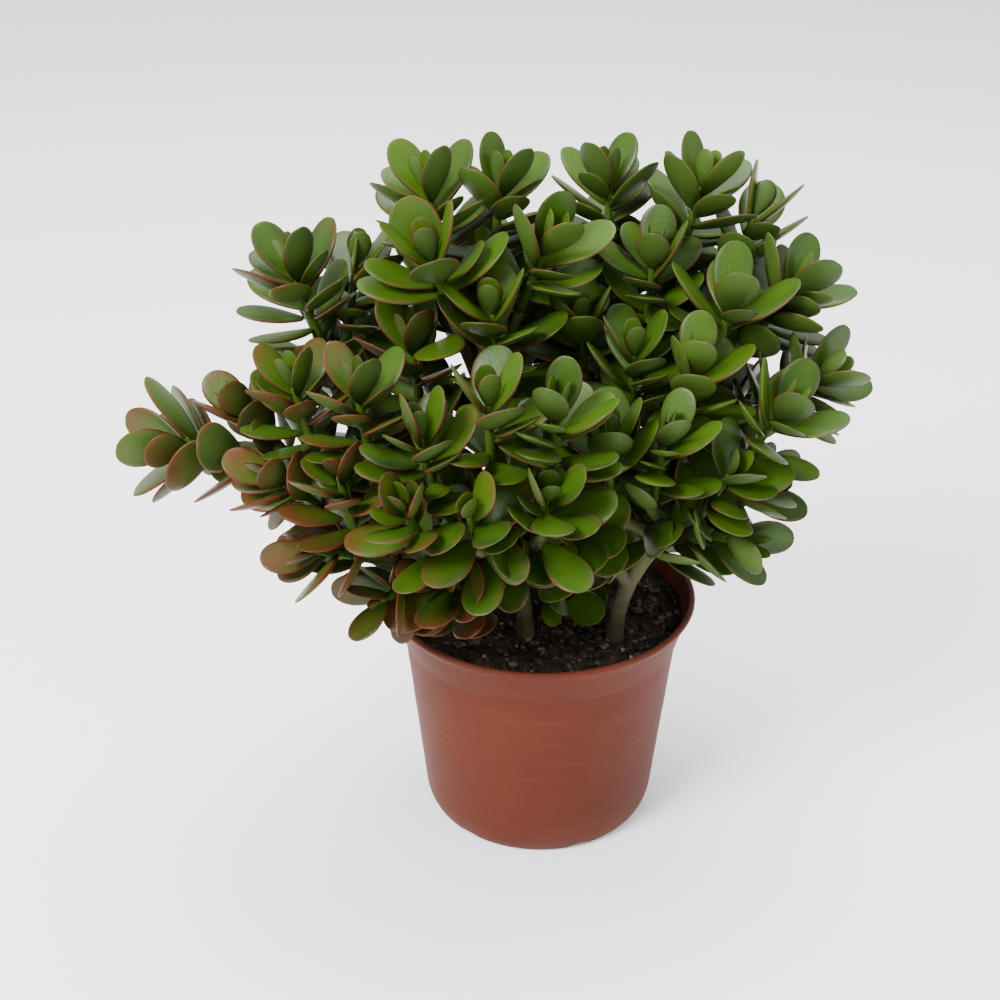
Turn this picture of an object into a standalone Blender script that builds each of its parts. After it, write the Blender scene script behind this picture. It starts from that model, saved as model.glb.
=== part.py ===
"""Potted jade plant: a tapered plastic pot, its soil, seven woody stems and their leafy shoots.

Metres, +Z up.  The origin is the middle of the pot's foot, on the surface it stands on.
"""
import math

import bmesh
import bpy
from mathutils import Matrix, Vector
from mathutils.bvhtree import BVHTree

MM = 0.001
GAP = 0.3 * MM                     # air left between two pieces that touch

# Pot: radii and heights of the outer side.
RIM_RADIUS = 85.0 * MM
RIM_HEIGHT = 133.0 * MM
BODY_TOP_RADIUS = 75.5 * MM
BODY_TOP_HEIGHT = 109.0 * MM
BODY_FOOT_RADIUS = 65.4 * MM
BODY_FOOT_HEIGHT = 13.0 * MM
FOOT_RADIUS = 60.0 * MM
WALL = 1.8 * MM
FLOOR_HEIGHT = 4.5 * MM
CENTRE_FOOT_RADIUS = 14.0 * MM
POT_SIDES = 32
NOTCH_COUNT = 6
NOTCH_WIDTH = 13.0 * MM
NOTCH_HEIGHT = 3.4 * MM
NOTCH_FIRST_ANGLE = -68.0
DRAIN_HOLE_RADIUS = 4.0 * MM
DRAIN_HOLE_RING = 47.0 * MM

# Soil.
SOIL_HEIGHT = 122.0 * MM
SOIL_DOME = 2.5 * MM
SOIL_EDGE = 1.0 * MM               # how far the soil drops at the wall
STEM_DEPTH = 26.0 * MM

# Leaves: one outline for all, scaled by each leaf's length.
LEAF_WIDEST = 0.62                 # share of the length where the blade is widest
LEAF_WIDTH = 0.66                  # width over length
LEAF_THICKNESS = 0.125             # thickness over length
LEAF_CURL = 0.13                   # how far the tip bends towards the shoot's axis
LEAF_CUP = 0.10                    # how far the margins lift
LEAF_CLEARANCE = 0.55 * MM
SMALL_LEAF = 24.0 * MM             # leaves at the very tip are shorter than this and have no solid

# The pairs of a shoot, counted down from its tip:
# share of the leaf length, angle from the shoot's axis in degrees, distance below the tip.
PAIRS = (
    (0.50, 18.0, 1.0 * MM),
    (0.84, 36.0, 6.0 * MM),
    (1.00, 54.0, 13.0 * MM),
    (1.00, 69.0, 22.0 * MM),
    (0.92, 80.0, 33.0 * MM),
)
SHOOT_TIP_RADIUS = 2.0 * MM
SHOOT_BASE_RADIUS = 3.0 * MM
SHOOT_TAIL = 9.0 * MM              # bare length below the lowest pair
TWIG_NECK = 4.0 * MM               # straight end of a twig, in line with its shoot
TWIG_SIDES_RESOLUTION = 1

# Woody stems: points up the trunk in millimetres, and the radius at the foot.
STEMS = {
    "stem_front_left": (((-36, -38, 126), (-42, -44, 150), (-62, -56, 182)), 4.6),
    "stem_left": (((-50, 12, 126), (-62, 10, 165), (-92, 0, 215)), 5.2),
    "stem_front": (((-8, -32, 126), (-12, -42, 165), (-24, -60, 215)), 5.0),
    "stem_right": (((40, -32, 126), (46, -38, 160), (66, -42, 200)), 5.0),
    "stem_middle": (((-8, 10, 126), (-16, 8, 180), (-32, 6, 250)), 5.6),
    "stem_back_right": (((46, 22, 126), (56, 20, 180), (78, 14, 238)), 5.4),
    "stem_back": (((6, 48, 126), (14, 52, 185), (30, 58, 255)), 5.4),
}

# Leafy shoots, front and outer ones first: stem, where the twig leaves the trunk (0 foot, 1 top),
# tip in millimetres, heading and tilt from upright in degrees, turn of the pairs, pairs, leaf length.
SHOOTS = (
    ("shoot_far_left", "stem_left", 0.85, (-188, -32, 236), 185, 80, 90, (1, 4), 44),
    ("shoot_left_low", "stem_left", 0.95, (-154, -16, 247), 190, 38, 20, (0, 4), 38),
    ("shoot_left_top", "stem_left", 1.00, (-128, 8, 314), 185, 16, 40, (0, 5), 42),
    ("shoot_left_top_inner", "stem_left", 1.00, (-98, 24, 312), 30, 10, 75, (0, 5), 40),
    ("shoot_left_middle", "stem_front_left", 1.00, (-124, -40, 272), 190, 14, 50, (0, 5), 37),
    ("shoot_left_inner", "stem_front_left", 1.00, (-90, -60, 278), 200, 8, 20, (0, 5), 38),
    ("shoot_front_left_outer", "stem_front_left", 0.90, (-132, -62, 233), 200, 45, 40, (0, 4), 38),
    ("shoot_front_left_mid", "stem_front_left", 0.90, (-98, -80, 244), 220, 12, 15, (0, 5), 38),
    ("shoot_front_left_low", "stem_front_left", 0.70, (-110, -92, 208), 212, 68, 50, (0, 3), 37),
    ("shoot_front_left_hang", "stem_front_left", 0.45, (-80, -87, 177), 225, 92, 0, (1, 3), 34),
    ("shoot_crown_left", "stem_middle", 0.70, (-68, -14, 284), 200, 8, 20, (0, 4), 40),
    ("shoot_front_upper_left", "stem_front", 0.90, (-58, -88, 268), 230, 15, 65, (0, 5), 38),
    ("shoot_front_upper", "stem_front", 1.00, (-26, -84, 284), 260, 8, 30, (0, 5), 40),
    ("shoot_front_mid_left", "stem_front", 0.80, (-64, -108, 240), 235, 30, 10, (0, 4), 36),
    ("shoot_front_mid", "stem_front", 0.80, (-34, -112, 240), 255, 32, 55, (0, 4), 37),
    ("shoot_front_low", "stem_front_left", 0.40, (-50, -88, 190), 250, 45, 15, (0, 4), 37),
    ("shoot_front_right_upper", "stem_front", 1.00, (6, -88, 282), 290, 10, 50, (0, 5), 39),
    ("shoot_front_right_mid", "stem_front", 0.80, (2, -110, 248), 280, 30, 0, (0, 4), 38),
    ("shoot_front_right_low", "stem_right", 0.50, (14, -84, 216), 260, 45, 40, (0, 4), 36),
    ("shoot_over_soil", "stem_middle", 0.10, (12, -30, 150), 285, 60, 45, (0, 3), 32),
    ("shoot_right_front_upper", "stem_right", 0.90, (32, -62, 256), 250, 8, 20, (0, 5), 38),
    ("shoot_right_front_upper_b", "stem_right", 1.00, (58, -66, 260), 290, 12, 60, (0, 5), 36),
    ("shoot_right_mid", "stem_back_right", 0.80, (44, -26, 286), 270, 8, 15, (0, 5), 38),
    ("shoot_right_mid_b", "stem_back_right", 0.90, (74, -34, 284), 300, 8, 55, (0, 5), 38),
    ("shoot_right_big", "stem_back_right", 1.00, (92, -8, 306), 320, 10, 40, (0, 4), 44),
    ("shoot_right_outer_top", "stem_back_right", 1.00, (128, 18, 306), 5, 35, 10, (0, 5), 42),
    ("shoot_right_outer", "stem_back_right", 0.90, (142, 0, 264), 350, 50, 35, (0, 5), 41),
    ("shoot_right_outer_front", "stem_right", 1.00, (118, -44, 264), 330, 30, 20, (0, 5), 40),
    ("shoot_right_lower", "stem_right", 0.90, (92, -62, 238), 310, 32, 65, (0, 4), 38),
    ("shoot_right_lower_b", "stem_right", 0.80, (112, -26, 212), 335, 62, 30, (0, 5), 38),
    ("shoot_right_low", "stem_right", 0.60, (98, -62, 200), 325, 85, 0, (0, 2), 40),
    ("shoot_top_left", "stem_middle", 1.00, (-60, 18, 354), 190, 12, 35, (0, 5), 42),
    ("shoot_top_left_front", "stem_middle", 1.00, (-56, -18, 331), 220, 20, 60, (0, 4), 44),
    ("shoot_top_middle", "stem_middle", 1.00, (-24, 26, 354), 30, 5, 15, (0, 5), 40),
    ("shoot_top_front", "stem_middle", 1.00, (0, -4, 334), 330, 22, 50, (0, 5), 43),
    ("shoot_crown_front", "stem_middle", 0.80, (-26, -24, 306), 250, 15, 10, (0, 4), 42),
    ("shoot_crown_centre", "stem_back", 0.90, (18, -2, 292), 250, 12, 35, (0, 4), 38),
    ("shoot_crown_right", "stem_back_right", 1.00, (54, 8, 324), 280, 10, 70, (0, 5), 38),
    ("shoot_top_right", "stem_back", 1.00, (80, 46, 350), 20, 15, 25, (0, 5), 41),
    ("shoot_top_right_outer", "stem_back_right", 1.00, (108, 42, 336), 20, 22, 55, (0, 5), 41),
    ("shoot_top_back", "stem_back", 1.00, (32, 56, 348), 100, 5, 40, (0, 5), 40),
    ("shoot_back_left", "stem_left", 0.90, (-100, 58, 242), 130, 30, 10, (0, 5), 40),
    ("shoot_back_left_low", "stem_left", 0.60, (-84, 74, 200), 130, 60, 40, (0, 4), 38),
    ("shoot_back_middle_left", "stem_middle", 0.80, (-30, 72, 302), 110, 20, 65, (0, 5), 40),
    ("shoot_back_middle", "stem_back", 0.80, (-10, 98, 284), 100, 30, 20, (0, 5), 40),
    ("shoot_back_middle_low", "stem_back", 0.60, (-20, 104, 230), 105, 50, 50, (0, 5), 38),
    ("shoot_back_right_mid", "stem_back", 0.90, (48, 98, 294), 70, 28, 0, (0, 5), 40),
    ("shoot_back_right_low", "stem_back", 0.60, (44, 106, 236), 75, 50, 35, (0, 5), 38),
    ("shoot_back_right_outer", "stem_back_right", 0.80, (98, 78, 270), 45, 35, 60, (0, 5), 40),
    ("shoot_back_right_outer_low", "stem_back_right", 0.60, (108, 62, 214), 35, 60, 20, (0, 5), 38),
)

COLOURS = {
    "pot": (0.28, 0.075, 0.043),
    "soil": (0.02, 0.014, 0.011),
    "stem": (0.12, 0.115, 0.05),
    "shoot": (0.07, 0.14, 0.02),
}


# ---------------------------------------------------------------- materials and collections
def material(name, roughness):
    mat = bpy.data.materials.new(name)
    mat.use_nodes = True
    shader = mat.node_tree.nodes["Principled BSDF"]
    colour = COLOURS[name]
    shader.inputs["Base Color"].default_value = (*colour, 1.0)
    shader.inputs["Roughness"].default_value = roughness
    mat.diffuse_color = (*colour, 1.0)
    return mat


def collection(name):
    made = bpy.data.collections.new(name)
    bpy.context.scene.collection.children.link(made)
    return made


def object_from(bm, name, group, mat=None):
    mesh = bpy.data.meshes.new(name)
    bm.to_mesh(mesh)
    bm.free()
    made = bpy.data.objects.new(name, mesh)
    group.objects.link(made)
    if mat:
        mesh.materials.append(mat)
    return made


def as_cutter(obj):
    obj.hide_render = True
    obj.display_type = "WIRE"
    return obj


def combine(target, others, operation):
    """Join or cut the target with each of the others in turn, and drop the others."""
    for other in others:
        step = target.modifiers.new(operation.lower(), "BOOLEAN")
        step.operation = operation
        step.solver = "EXACT"
        step.object = other
        depsgraph = bpy.context.evaluated_depsgraph_get()
        result = bpy.data.meshes.new_from_object(target.evaluated_get(depsgraph), depsgraph=depsgraph)
        target.modifiers.clear()
        bpy.data.objects.remove(other)
        bm = bmesh.new()
        bm.from_mesh(result)
        bmesh.ops.dissolve_degenerate(bm, edges=bm.edges, dist=0.000002)
        bm.to_mesh(result)
        bm.free()
        target.data = result
    return target


# ---------------------------------------------------------------- pot and soil
def lathe(name, profile, group, mat, sides):
    """Turn a profile of (radius, height) points, given down the outer side, into a solid."""
    mesh = bpy.data.meshes.new(name)
    points = [(radius, 0.0, height) for radius, height in profile]
    mesh.from_pydata(points, [(i, i + 1) for i in range(len(points) - 1)], [])
    turned = bpy.data.objects.new(name, mesh)
    group.objects.link(turned)
    mesh.materials.append(mat)
    screw = turned.modifiers.new("turn", "SCREW")
    screw.axis = "Z"
    screw.angle = 2 * math.pi
    screw.steps = sides
    screw.render_steps = sides
    screw.use_merge_vertices = True
    screw.merge_threshold = 0.00005
    return turned


def inner_radius(height):
    """Radius of the pot's inner wall at a height between the floor and the lip."""
    if height > BODY_TOP_HEIGHT:
        share = (height - BODY_TOP_HEIGHT) / (RIM_HEIGHT - BODY_TOP_HEIGHT)
        return BODY_TOP_RADIUS - WALL + share * (RIM_RADIUS - BODY_TOP_RADIUS)
    share = (height - BODY_FOOT_HEIGHT) / (BODY_TOP_HEIGHT - BODY_FOOT_HEIGHT)
    return BODY_FOOT_RADIUS - WALL + share * (BODY_TOP_RADIUS - BODY_FOOT_RADIUS)


def build_pot(group, shaping, mat):
    floor_top = FLOOR_HEIGHT + WALL
    inside_foot = FOOT_RADIUS - 2.2 * MM
    profile = (
        (0.0, floor_top),
        (inner_radius(BODY_FOOT_HEIGHT) - 4.0 * MM, floor_top),
        (inner_radius(BODY_FOOT_HEIGHT), BODY_FOOT_HEIGHT),
        (inner_radius(BODY_TOP_HEIGHT), BODY_TOP_HEIGHT),
        (inner_radius(RIM_HEIGHT) - 0.6 * MM, RIM_HEIGHT - 1.6 * MM),
        (inner_radius(RIM_HEIGHT) + 0.3 * MM, RIM_HEIGHT),
        (RIM_RADIUS - 0.6 * MM, RIM_HEIGHT),
        (RIM_RADIUS, RIM_HEIGHT - 1.2 * MM),
        (RIM_RADIUS - 0.4 * MM, RIM_HEIGHT - 3.4 * MM),
        (RIM_RADIUS - 2.8 * MM, RIM_HEIGHT - 6.0 * MM),
        (BODY_TOP_RADIUS + 1.6 * MM, BODY_TOP_HEIGHT + 3.0 * MM),
        (BODY_TOP_RADIUS, BODY_TOP_HEIGHT),
        (BODY_FOOT_RADIUS, BODY_FOOT_HEIGHT),
        (BODY_FOOT_RADIUS - 2.0 * MM, BODY_FOOT_HEIGHT * 0.4),
        (FOOT_RADIUS, 0.0),
        (inside_foot, 0.0),
        (inside_foot - 0.6 * MM, FLOOR_HEIGHT),
        (CENTRE_FOOT_RADIUS + 1.0 * MM, FLOOR_HEIGHT),
        (CENTRE_FOOT_RADIUS, 0.0),
        (0.0, 0.0),
    )
    pot = lathe("pot", profile, group, mat, POT_SIDES)
    cutters = []
    for index in range(NOTCH_COUNT):
        angle = math.radians(NOTCH_FIRST_ANGLE + index * 360.0 / NOTCH_COUNT)
        cutters.append(notch_cutter(angle, shaping))
        cutters.append(drain_cutter(angle, shaping))
    combine(pot, cutters, "DIFFERENCE")
    pot.data.shade_smooth()
    pot.data.set_sharp_from_angle(angle=math.radians(35))
    return pot


def notch_cutter(angle, shaping):
    """A round-topped slot through the foot ring, pointing out along the angle."""
    bm = bmesh.new()
    bmesh.ops.create_cone(bm, cap_ends=True, segments=12, radius1=NOTCH_WIDTH / 2, radius2=NOTCH_WIDTH / 2,
                          depth=24.0 * MM)
    turn = Matrix.Rotation(math.radians(90), 4, "Y")
    squash = Matrix.Diagonal((1.0, 1.0, 2 * NOTCH_HEIGHT / NOTCH_WIDTH, 1.0))
    place = Matrix.Rotation(angle, 4, "Z") @ Matrix.Translation((FOOT_RADIUS, 0.0, 0.0))
    bmesh.ops.transform(bm, matrix=place @ squash @ turn, verts=bm.verts)
    return as_cutter(object_from(bm, "notch_cutter", shaping))


def drain_cutter(angle, shaping):
    bm = bmesh.new()
    bmesh.ops.create_cone(bm, cap_ends=True, segments=8, radius1=DRAIN_HOLE_RADIUS, radius2=DRAIN_HOLE_RADIUS,
                          depth=10.0 * MM)
    place = Matrix.Rotation(angle, 4, "Z") @ Matrix.Translation((DRAIN_HOLE_RING, 0.0, FLOOR_HEIGHT))
    bmesh.ops.transform(bm, matrix=place, verts=bm.verts)
    return as_cutter(object_from(bm, "drain_cutter", shaping))


def build_soil(group, shaping, mat, stems):
    """Potting soil that fills the pot, with a socket for each stem."""
    bottom = FLOOR_HEIGHT + WALL + GAP
    profile = (
        (0.0, SOIL_HEIGHT + SOIL_DOME),
        (30.0 * MM, SOIL_HEIGHT + SOIL_DOME * 0.8),
        (58.0 * MM, SOIL_HEIGHT + SOIL_DOME * 0.3),
        (inner_radius(SOIL_HEIGHT - SOIL_EDGE) - GAP, SOIL_HEIGHT - SOIL_EDGE),
        (inner_radius(BODY_TOP_HEIGHT) - GAP, BODY_TOP_HEIGHT),
        (inner_radius(BODY_FOOT_HEIGHT) - GAP, BODY_FOOT_HEIGHT),
        (inner_radius(BODY_FOOT_HEIGHT) - 4.4 * MM, bottom),
        (0.0, bottom),
    )
    soil = lathe("soil", profile, group, mat, POT_SIDES)
    cutters = []
    for trunk, radius in stems.values():
        foot = Vector(trunk[0]) * MM
        bm = bmesh.new()
        socket = radius * MM + 2 * GAP
        depth = 2 * (STEM_DEPTH + GAP)
        bmesh.ops.create_cone(bm, cap_ends=True, segments=8, radius1=socket, radius2=socket, depth=depth)
        foot.z = SOIL_HEIGHT + SOIL_DOME
        bmesh.ops.translate(bm, vec=foot, verts=bm.verts)
        cutters.append(as_cutter(object_from(bm, "socket_cutter", shaping)))
    return combine(soil, cutters, "DIFFERENCE")


# ---------------------------------------------------------------- growth
def direction(heading, tilt):
    """Unit vector for a heading about Z (0 is +X) and a tilt from upright, in degrees."""
    heading = math.radians(heading)
    tilt = math.radians(tilt)
    return Vector((math.sin(tilt) * math.cos(heading), math.sin(tilt) * math.sin(heading), math.cos(tilt)))


def bezier(a, b, c, d, count):
    points = []
    for i in range(count + 1):
        t = i / count
        s = 1.0 - t
        points.append(a * s ** 3 + b * (3 * s * s * t) + c * (3 * s * t * t) + d * t ** 3)
    return points


def trunk_point(trunk, share):
    """Point on the smooth trunk through the foot, the middle and the top."""
    foot, middle, top = (Vector(p) * MM for p in trunk)
    control = middle * 2 - (foot + top) * 0.5
    s = 1.0 - share
    return foot * s * s + control * (2 * s * share) + top * share * share


def leaf_half_width(t):
    if t >= LEAF_WIDEST:
        past = (t - LEAF_WIDEST) / (1.0 - LEAF_WIDEST)
        return math.sqrt(max(0.0, 1.0 - past * past))
    rise = math.sin(0.5 * math.pi * t / LEAF_WIDEST)
    return 0.17 + 0.83 * rise ** 1.15


def leaf_half_thickness(t):
    return (0.55 + 0.45 * math.sin(math.pi * t ** 0.8)) * math.sqrt(max(0.0, 1.0 - t ** 6))


def unit_ball(around, along):
    bm = bmesh.new()
    bmesh.ops.create_uvsphere(bm, u_segments=around, v_segments=along, radius=1.0)
    verts = [v.co.copy() for v in bm.verts]
    faces = [tuple(v.index for v in f.verts) for f in bm.faces]
    bm.free()
    return verts, faces


def leaf_points(ball, leaf, extra=0.0):
    """Places of the ball's points once it is drawn out into a leaf."""
    base, out, lift, length = leaf
    side = lift.cross(out)
    points = []
    for co in ball:
        t = 0.5 * (1.0 - co.z)
        ring = math.sqrt(max(1e-12, 1.0 - co.z * co.z))
        across = co.x / ring if ring > 1e-4 else 0.0
        through = co.y / ring if ring > 1e-4 else 0.0
        half_width = 0.5 * length * LEAF_WIDTH * leaf_half_width(t) + extra
        half_thick = 0.5 * length * LEAF_THICKNESS * leaf_half_thickness(t) + extra
        bend = length * (LEAF_CURL * t * t + LEAF_CUP * LEAF_WIDTH * 0.5 * leaf_half_width(t) * across * across)
        points.append(base + out * (length * t) - side * (across * half_width) + lift * (bend + through * half_thick))
    return points


class Garden:
    """Everything that already stands in the pot, so that the next leaf can keep clear of it."""

    def __init__(self):
        self.solids = []
        self.ball, self.ball_faces = unit_ball(6, 5)

    def add(self, owner, points, faces):
        middle = sum(points, Vector()) / len(points)
        reach = max((p - middle).length for p in points)
        self.solids.append((owner, middle, reach, BVHTree.FromPolygons(points, faces)))

    def is_free(self, owner, points, faces):
        for p in points:
            radius = math.hypot(p.x, p.y)
            if p.z < SOIL_HEIGHT + SOIL_DOME + 2 * MM and radius < RIM_RADIUS:
                return False
            if p.z < RIM_HEIGHT + 1.5 * MM and abs(radius - RIM_RADIUS + 5 * MM) < 8 * MM:
                return False
        middle = sum(points, Vector()) / len(points)
        reach = max((p - middle).length for p in points)
        tree = BVHTree.FromPolygons(points, faces)
        for other, centre, far, solid in self.solids:
            if other != owner and (centre - middle).length < reach + far and tree.overlap(solid):
                return False
        return True

    def place_leaf(self, owner, base, axis, up_side, around, angle, length):
        """First free leaf near the wanted one: turned, raised or lowered, then shortened."""
        for scale in (1.0, 0.86, 0.72):
            for turn in (0, 14, -14, 28, -28):
                for pitch in (0, -12, 12, -24):
                    leaf = make_leaf(base, axis, up_side, around + turn, angle + pitch, length * scale)
                    points = leaf_points(self.ball, leaf, LEAF_CLEARANCE)
                    if self.is_free(owner, points, self.ball_faces):
                        self.add(owner, points, self.ball_faces)
                        return leaf
        return None


def make_leaf(base, axis, up_side, around, angle, length):
    """A leaf as its base, outward direction, upper-side direction and length."""
    across = up_side.copy()
    across.rotate(Matrix.Rotation(math.radians(around), 3, axis))
    tilt = math.radians(angle)
    out = (axis * math.cos(tilt) + across * math.sin(tilt)).normalized()
    lift = (axis * math.sin(tilt) - across * math.cos(tilt)).normalized()
    return base + across * 0.8 * MM, out, lift, length


def tube_rings(path, radii, sides=6):
    """Points and faces of a closed tube with flat ends."""
    points = []
    for i, p in enumerate(path):
        ahead = (path[min(i + 1, len(path) - 1)] - path[max(i - 1, 0)]).normalized()
        across = ahead.orthogonal().normalized()
        for k in range(sides):
            spoke = across.copy()
            spoke.rotate(Matrix.Rotation(2 * math.pi * k / sides, 3, ahead))
            points.append(p + spoke * radii[i])
    faces = [tuple(range(sides)), tuple(range(len(points) - 1, len(points) - sides - 1, -1))]
    for i in range(len(path) - 1):
        for k in range(sides):
            n = (k + 1) % sides
            faces.append((i * sides + k, i * sides + n, (i + 1) * sides + n, (i + 1) * sides + k))
    return points, faces


def lay_out():
    """Paths of every trunk, twig and shoot, and the leaves of every shoot."""
    garden = Garden()
    trunks = {}
    for name, (trunk, radius) in STEMS.items():
        path = [trunk_point(trunk, i / 4) for i in range(5)]
        path.insert(0, Vector((path[0].x, path[0].y, SOIL_HEIGHT + SOIL_DOME - STEM_DEPTH)))
        radii = [radius * MM] + [radius * MM * (1.0 - 0.09 * i) for i in range(5)]
        trunks[name] = (path, radii)
        garden.add(name, *tube_rings(path, radii))
    twigs = []
    shoots = []
    for name, stem, share, tip, heading, tilt, turn, (first, last), leaf in SHOOTS:
        axis = direction(heading, tilt)
        tip = Vector(tip) * MM
        pairs = PAIRS[first:last]
        base = tip - axis * (pairs[-1][2] + SHOOT_TAIL)
        share = min(share, 0.97) - 0.02 * sum(1 for twig in twigs if twig[1] == stem)
        start = trunk_point(STEMS[stem][0], share)
        end = base - axis * GAP
        reach = (end - start).length
        rise = (trunk_point(STEMS[stem][0], min(1.0, share + 0.1)) - trunk_point(STEMS[stem][0], share - 0.1)).normalized()
        steps = max(2, round(reach / (30 * MM)))
        neck = end - axis * TWIG_NECK
        path = bezier(start, start + rise * (0.35 * reach), neck - axis * (0.35 * reach), neck, steps)
        path.append(end)
        thick = SHOOT_BASE_RADIUS + 0.4 * MM
        radii = [thick + (1 - i / steps) * 0.6 * MM for i in range(steps + 1)]
        radii.append(SHOOT_BASE_RADIUS)
        twigs.append((name, stem, path, radii))
        garden.add(stem, *tube_rings(path, radii))
        green = [base, tip]
        garden.add(name, *tube_rings(green, [SHOOT_BASE_RADIUS, SHOOT_TIP_RADIUS]))
        shoots.append((name, axis, direction(heading, tilt - 90), base, tip, turn, pairs, leaf * MM))
    grown = {}
    for name, axis, up_side, base, tip, turn, pairs, length in shoots:
        leaves = []
        for index, (share, angle, below) in enumerate(pairs):
            for half in (0, 180):
                node = tip - axis * (below + (0.4 * MM if half else 0.0))
                leaf = garden.place_leaf(name, node, axis, up_side, turn + 90 * index + half, angle, length * share)
                if leaf:
                    leaves.append(leaf)
        grown[name] = leaves
    return trunks, twigs, shoots, grown


# ---------------------------------------------------------------- plant solids
def tube_object(name, path, radii, group, mat):
    """A tapered tube along a path: a bevelled curve with filled caps, turned into a closed mesh."""
    curve = bpy.data.curves.new(name, "CURVE")
    curve.dimensions = "3D"
    curve.bevel_depth = 1.0
    curve.bevel_resolution = TWIG_SIDES_RESOLUTION
    curve.use_fill_caps = True
    spline = curve.splines.new("POLY")
    spline.points.add(len(path) - 1)
    for point, place, radius in zip(spline.points, path, radii):
        point.co = (*place, 1.0)
        point.radius = radius
    guide = bpy.data.objects.new(name + "_curve", curve)
    group.objects.link(guide)
    depsgraph = bpy.context.evaluated_depsgraph_get()
    mesh = bpy.data.meshes.new_from_object(guide.evaluated_get(depsgraph), depsgraph=depsgraph)
    bpy.data.objects.remove(guide)
    bm = bmesh.new()
    bm.from_mesh(mesh)
    bpy.data.meshes.remove(mesh)
    bmesh.ops.remove_doubles(bm, verts=bm.verts, dist=0.00001)
    return object_from(bm, name, group, mat)


def leaf_object(leaf, group):
    verts, faces = unit_ball(4, 3)
    bm = bmesh.new()
    made = [bm.verts.new(p) for p in leaf_points(verts, leaf)]
    for face in faces:
        bm.faces.new([made[i] for i in face])
    return as_cutter(object_from(bm, "leaf", group))


def build_stem(name, trunk, twigs, group, shaping, mat):
    stem = tube_object(name, *trunk, group, mat)
    arms = [as_cutter(tube_object("arm", path, radii, shaping, mat)) for _, owner, path, radii in twigs
            if owner == name]
    return combine(stem, arms, "UNION")


def build_shoot(shoot, leaves, group, shaping, mat):
    name, base, tip = shoot[0], shoot[3], shoot[4]
    green = tube_object(name, [base, tip], [SHOOT_BASE_RADIUS, SHOOT_TIP_RADIUS], group, mat)
    return combine(green, [leaf_object(leaf, shaping) for leaf in leaves if leaf[3] > SMALL_LEAF], "UNION")


def main():
    for obj in list(bpy.data.objects):
        bpy.data.objects.remove(obj)
    group = collection("potted_jade_plant")
    shaping = collection("shaping")
    pot_material = material("pot", 0.5)
    soil_material = material("soil", 0.95)
    stem_material = material("stem", 0.7)
    shoot_material = material("shoot", 0.4)
    build_pot(group, shaping, pot_material)
    build_soil(group, shaping, soil_material, STEMS)
    trunks, twigs, shoots, grown = lay_out()
    for name, trunk in trunks.items():
        build_stem(name, trunk, twigs, group, shaping, stem_material)
    for shoot in shoots:
        build_shoot(shoot, grown[shoot[0]], group, shaping, shoot_material)


main()
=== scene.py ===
import functools
import math
import random

import bmesh
import bpy
from bpy.props import FloatProperty, FloatVectorProperty, IntProperty, PointerProperty
from mathutils import Matrix, Vector, noise
from mathutils.bvhtree import BVHTree


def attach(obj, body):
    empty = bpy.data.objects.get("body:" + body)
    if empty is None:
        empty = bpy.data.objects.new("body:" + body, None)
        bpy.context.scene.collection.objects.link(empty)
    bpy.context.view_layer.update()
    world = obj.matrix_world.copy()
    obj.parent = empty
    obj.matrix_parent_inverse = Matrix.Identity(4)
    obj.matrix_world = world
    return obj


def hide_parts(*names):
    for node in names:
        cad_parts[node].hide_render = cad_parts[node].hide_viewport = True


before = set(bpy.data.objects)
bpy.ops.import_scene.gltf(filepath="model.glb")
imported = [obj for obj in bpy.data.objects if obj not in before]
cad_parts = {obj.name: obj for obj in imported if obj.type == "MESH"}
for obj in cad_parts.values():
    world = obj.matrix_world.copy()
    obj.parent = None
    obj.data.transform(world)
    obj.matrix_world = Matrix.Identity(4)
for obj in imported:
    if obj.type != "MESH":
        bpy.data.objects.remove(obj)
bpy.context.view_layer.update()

bl_info = {
    "name": "Potted Jade Plant",
    "version": (1, 0, 0),
    "blender": (4, 5, 0),
    "location": "View3D > Sidebar > Jade plant",
    "description": "Models a jade plant in a plastic nursery pot",
    "category": "Add Mesh",
}

MM = 0.001
GAP = 0.3 * MM

# Pot and soil.
RIM_RADIUS = 85.0 * MM
RIM_HEIGHT = 133.0 * MM
BODY_TOP_RADIUS = 75.5 * MM
BODY_TOP_HEIGHT = 109.0 * MM
BODY_FOOT_RADIUS = 65.4 * MM
BODY_FOOT_HEIGHT = 13.0 * MM
FOOT_RADIUS = 60.0 * MM
WALL = 1.8 * MM
FLOOR_HEIGHT = 4.5 * MM
CENTRE_FOOT_RADIUS = 14.0 * MM
LIP_RADIUS = 1.7 * MM
MOULDED_RINGS = (66.0 * MM, 71.0 * MM, 95.0 * MM, 99.0 * MM)
MOULDED_RING_WIDTH = 0.9 * MM
MOULDED_RING_RISE = 0.10 * MM
NOTCH_COUNT = 6
NOTCH_WIDTH = 13.0 * MM
NOTCH_HEIGHT = 3.4 * MM
NOTCH_DEPTH = 24.0 * MM
NOTCH_FIRST_ANGLE = -68.0
SHARP_ANGLE = math.radians(40)
DRAIN_HOLE_RADIUS = 4.0 * MM
DRAIN_HOLE_RING = 47.0 * MM
SOIL_HEIGHT = 122.0 * MM
SOIL_DOME = 2.5 * MM
SOIL_EDGE = 1.0 * MM
STEM_DEPTH = 26.0 * MM
SOIL_RINGS = 34
SOIL_SPOKES = 110
LUMP_SCALE = 90.0                  # lumps and grains of the surface, per metre
LUMP_HEIGHT = 1.6 * MM
GRAIN_SCALE = 260.0
GRAIN_HEIGHT = 1.2 * MM
CRUMB_RADIUS = (0.6 * MM, 2.3 * MM)
CRUMB_MARGIN = 2.5 * MM            # crumbs stay this far inside the soil's edge
CRUMB_SEED = 11

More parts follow.
